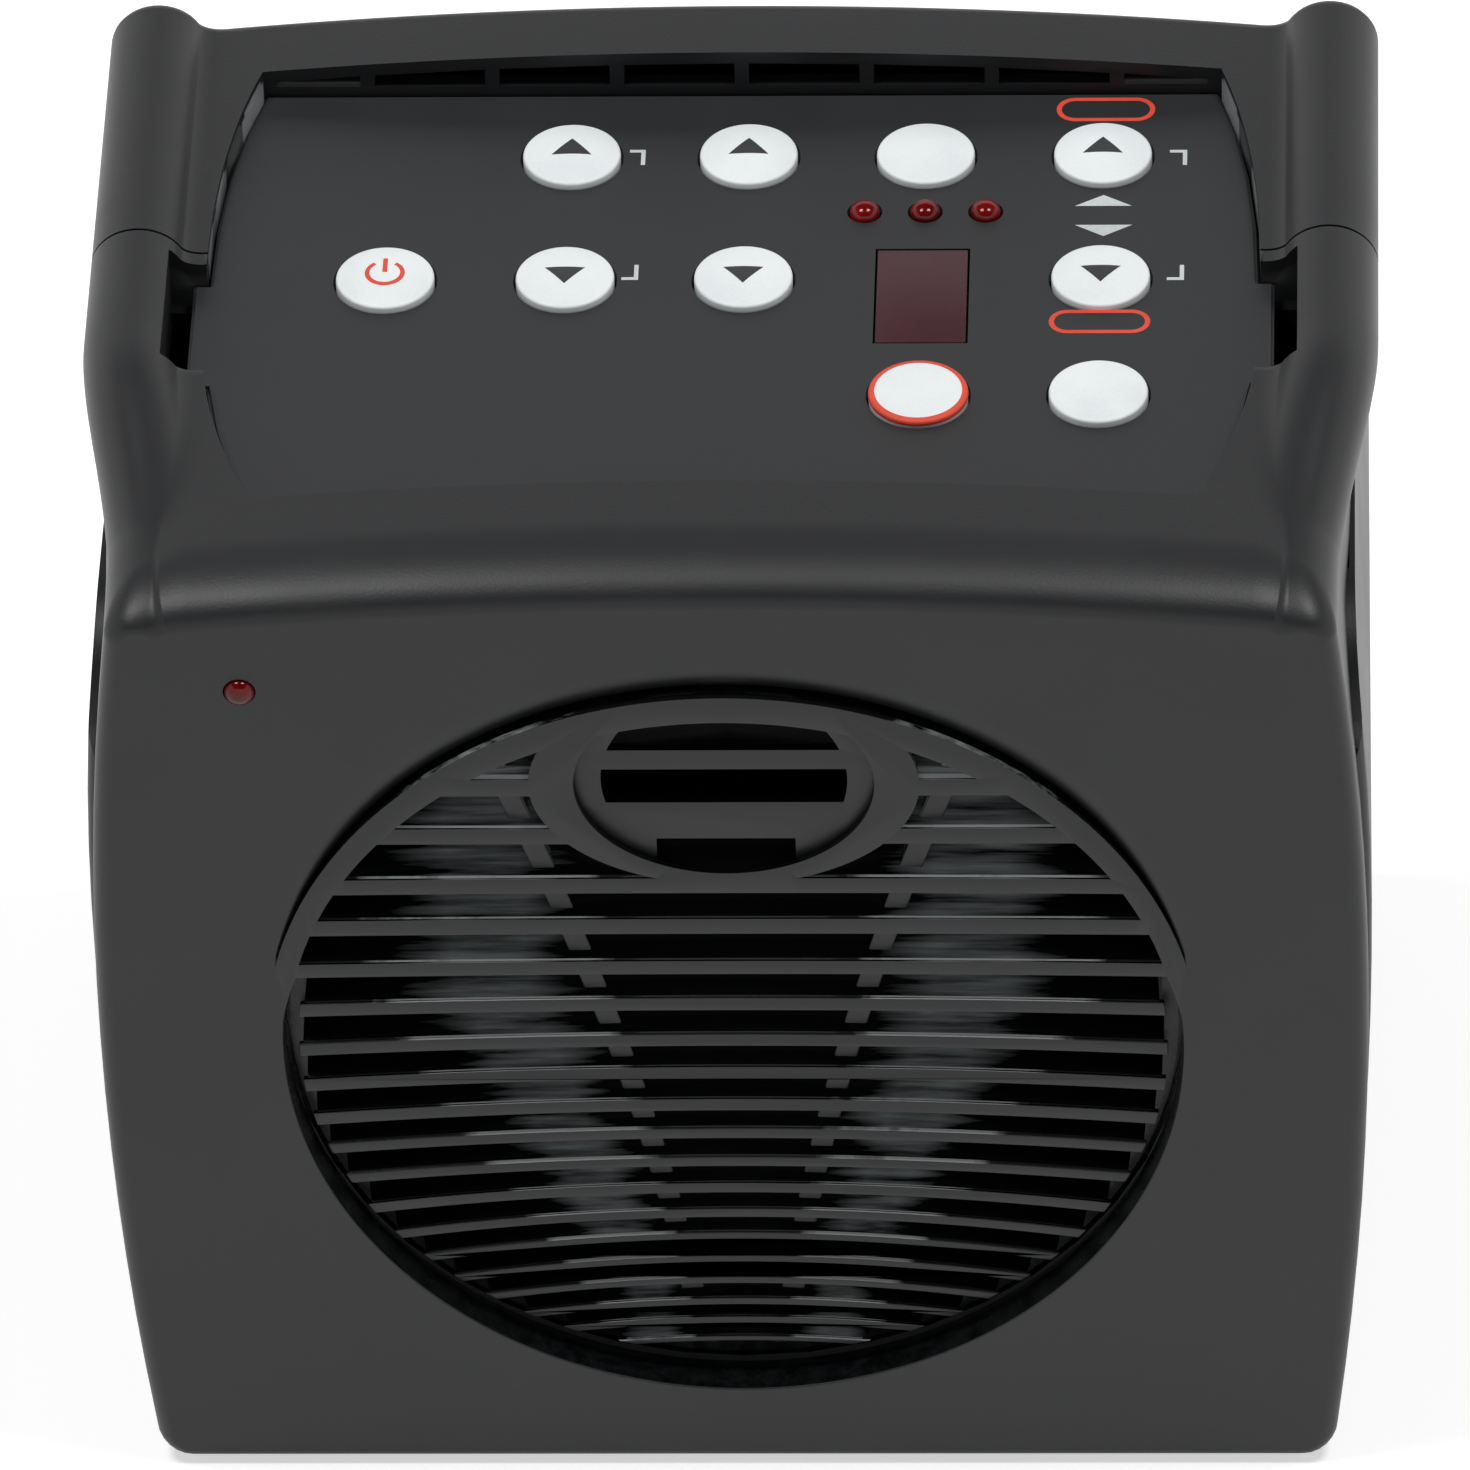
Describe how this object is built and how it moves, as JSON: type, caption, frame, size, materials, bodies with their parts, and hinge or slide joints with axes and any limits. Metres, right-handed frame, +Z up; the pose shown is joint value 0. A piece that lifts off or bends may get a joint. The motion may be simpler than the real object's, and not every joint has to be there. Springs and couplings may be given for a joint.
{
  "type": "electronic tanpura",
  "caption": "Small table-top electronic drone instrument: louvred loudspeaker face, recessed top control panel with press keys, lamps and display, battery door behind.",
  "frame": {"origin": "under the middle of the body, on the surface that the rubber feet stand on", "axes": "+X towards the right seen from the front, +Y towards the rear wall, +Z up; the grille faces -Y"},
  "size_m": [0.1252, 0.0914, 0.1132],
  "materials": {
    "housing": "moulded charcoal ABS with a fine spark-eroded texture",
    "grille": "moulded charcoal ABS, polished between the blades",
    "overlay": "screen-printed polycarbonate sheet",
    "window": "dark red filter window",
    "module": "display module housing",
    "board": "glass-epoxy circuit board",
    "lens": "red diffused lamp",
    "foam": "closed-cell foam",
    "paper": "pressed paper cone, dark",
    "coil": "enamelled copper winding",
    "zinc": "zinc-plated pressed steel",
    "magnet": "ferrite with plated pole plates",
    "steel": "plated steel",
    "socket": "black nylon",
    "key": "white moulded key cap",
    "cell_wrap": "plain shrink sleeve on a dry cell",
    "rubber": "moulded rubber"
  },
  "bodies": {
    "root": {"front_housing": "housing", "rear_housing": "housing", "speaker_grille": "grille", "control_panel": "housing", "panel_overlay": "overlay", "display_window": "window", "display_module": "module", "panel_led_1": "lens", "panel_led_2": "lens", "panel_led_3": "lens", "control_board": "board", "front_led": "lens", "speaker_gasket": "foam", "speaker_cone": "paper", "dust_cap": "paper", "voice_coil": "coil", "speaker_frame": "zinc", "speaker_magnet": "magnet", "speaker_screw_1": "steel", "speaker_screw_2": "steel", "speaker_screw_3": "steel", "speaker_screw_4": "steel", "dry_cell_left_1": "cell_wrap", "dry_cell_right_1": "cell_wrap", "dry_cell_left_2": "cell_wrap", "dry_cell_right_2": "cell_wrap", "dry_cell_left_3": "cell_wrap", "dry_cell_right_3": "cell_wrap", "battery_contact_left": "steel", "battery_contact_right": "steel", "main_board": "board", "power_socket": "socket", "audio_socket": "socket", "housing_screw_1": "steel", "housing_screw_2": "steel", "housing_screw_3": "steel", "housing_screw_4": "steel", "rubber_foot_1": "rubber", "rubber_foot_2": "rubber", "rubber_foot_3": "rubber", "rubber_foot_4": "rubber"},
    "key_volume_up": {"key_volume_up": "key"},
    "key_volume_down": {"key_volume_down": "key"},
    "key_tone_up": {"key_tone_up": "key"},
    "key_tone_down": {"key_tone_down": "key"},
    "key_string_select": {"key_string_select": "key"},
    "key_memory": {"key_memory": "key"},
    "key_pitch_up": {"key_pitch_up": "key"},
    "key_pitch_down": {"key_pitch_down": "key"},
    "key_mode": {"key_mode": "key"},
    "key_power": {"key_power": "key"},
    "battery_door": {"battery_door": "housing"}
  },
  "joints": [
    {"name": "press_volume_up", "type": "slide", "parent": "root", "child": "key_volume_up", "axis": [0, 0, -1], "range_m": [0, 0.0005], "stiffness_N_per_m": 1000},
    {"name": "press_volume_down", "type": "slide", "parent": "root", "child": "key_volume_down", "axis": [0, 0, -1], "range_m": [0, 0.0005], "stiffness_N_per_m": 1000},
    {"name": "press_tone_up", "type": "slide", "parent": "root", "child": "key_tone_up", "axis": [0, 0, -1], "range_m": [0, 0.0005], "stiffness_N_per_m": 1000},
    {"name": "press_tone_down", "type": "slide", "parent": "root", "child": "key_tone_down", "axis": [0, 0, -1], "range_m": [0, 0.0005], "stiffness_N_per_m": 1000},
    {"name": "press_string_select", "type": "slide", "parent": "root", "child": "key_string_select", "axis": [0, 0, -1], "range_m": [0, 0.0005], "stiffness_N_per_m": 1000},
    {"name": "press_memory", "type": "slide", "parent": "root", "child": "key_memory", "axis": [0, 0, -1], "range_m": [0, 0.0005], "stiffness_N_per_m": 1000},
    {"name": "press_pitch_up", "type": "slide", "parent": "root", "child": "key_pitch_up", "axis": [0, 0, -1], "range_m": [0, 0.0005], "stiffness_N_per_m": 1000},
    {"name": "press_pitch_down", "type": "slide", "parent": "root", "child": "key_pitch_down", "axis": [0, 0, -1], "range_m": [0, 0.0005], "stiffness_N_per_m": 1000},
    {"name": "press_mode", "type": "slide", "parent": "root", "child": "key_mode", "axis": [0, 0, -1], "range_m": [0, 0.0005], "stiffness_N_per_m": 1000},
    {"name": "press_power", "type": "slide", "parent": "root", "child": "key_power", "axis": [0, 0, -1], "range_m": [0, 0.0005], "stiffness_N_per_m": 1000},
    {"name": "battery_door_hinge", "type": "hinge", "parent": "root", "child": "battery_door", "pos_m": [0, 0.0457, 0.0151], "axis": [-1, 0, 0], "range_deg": [0, 100]}
  ]
}
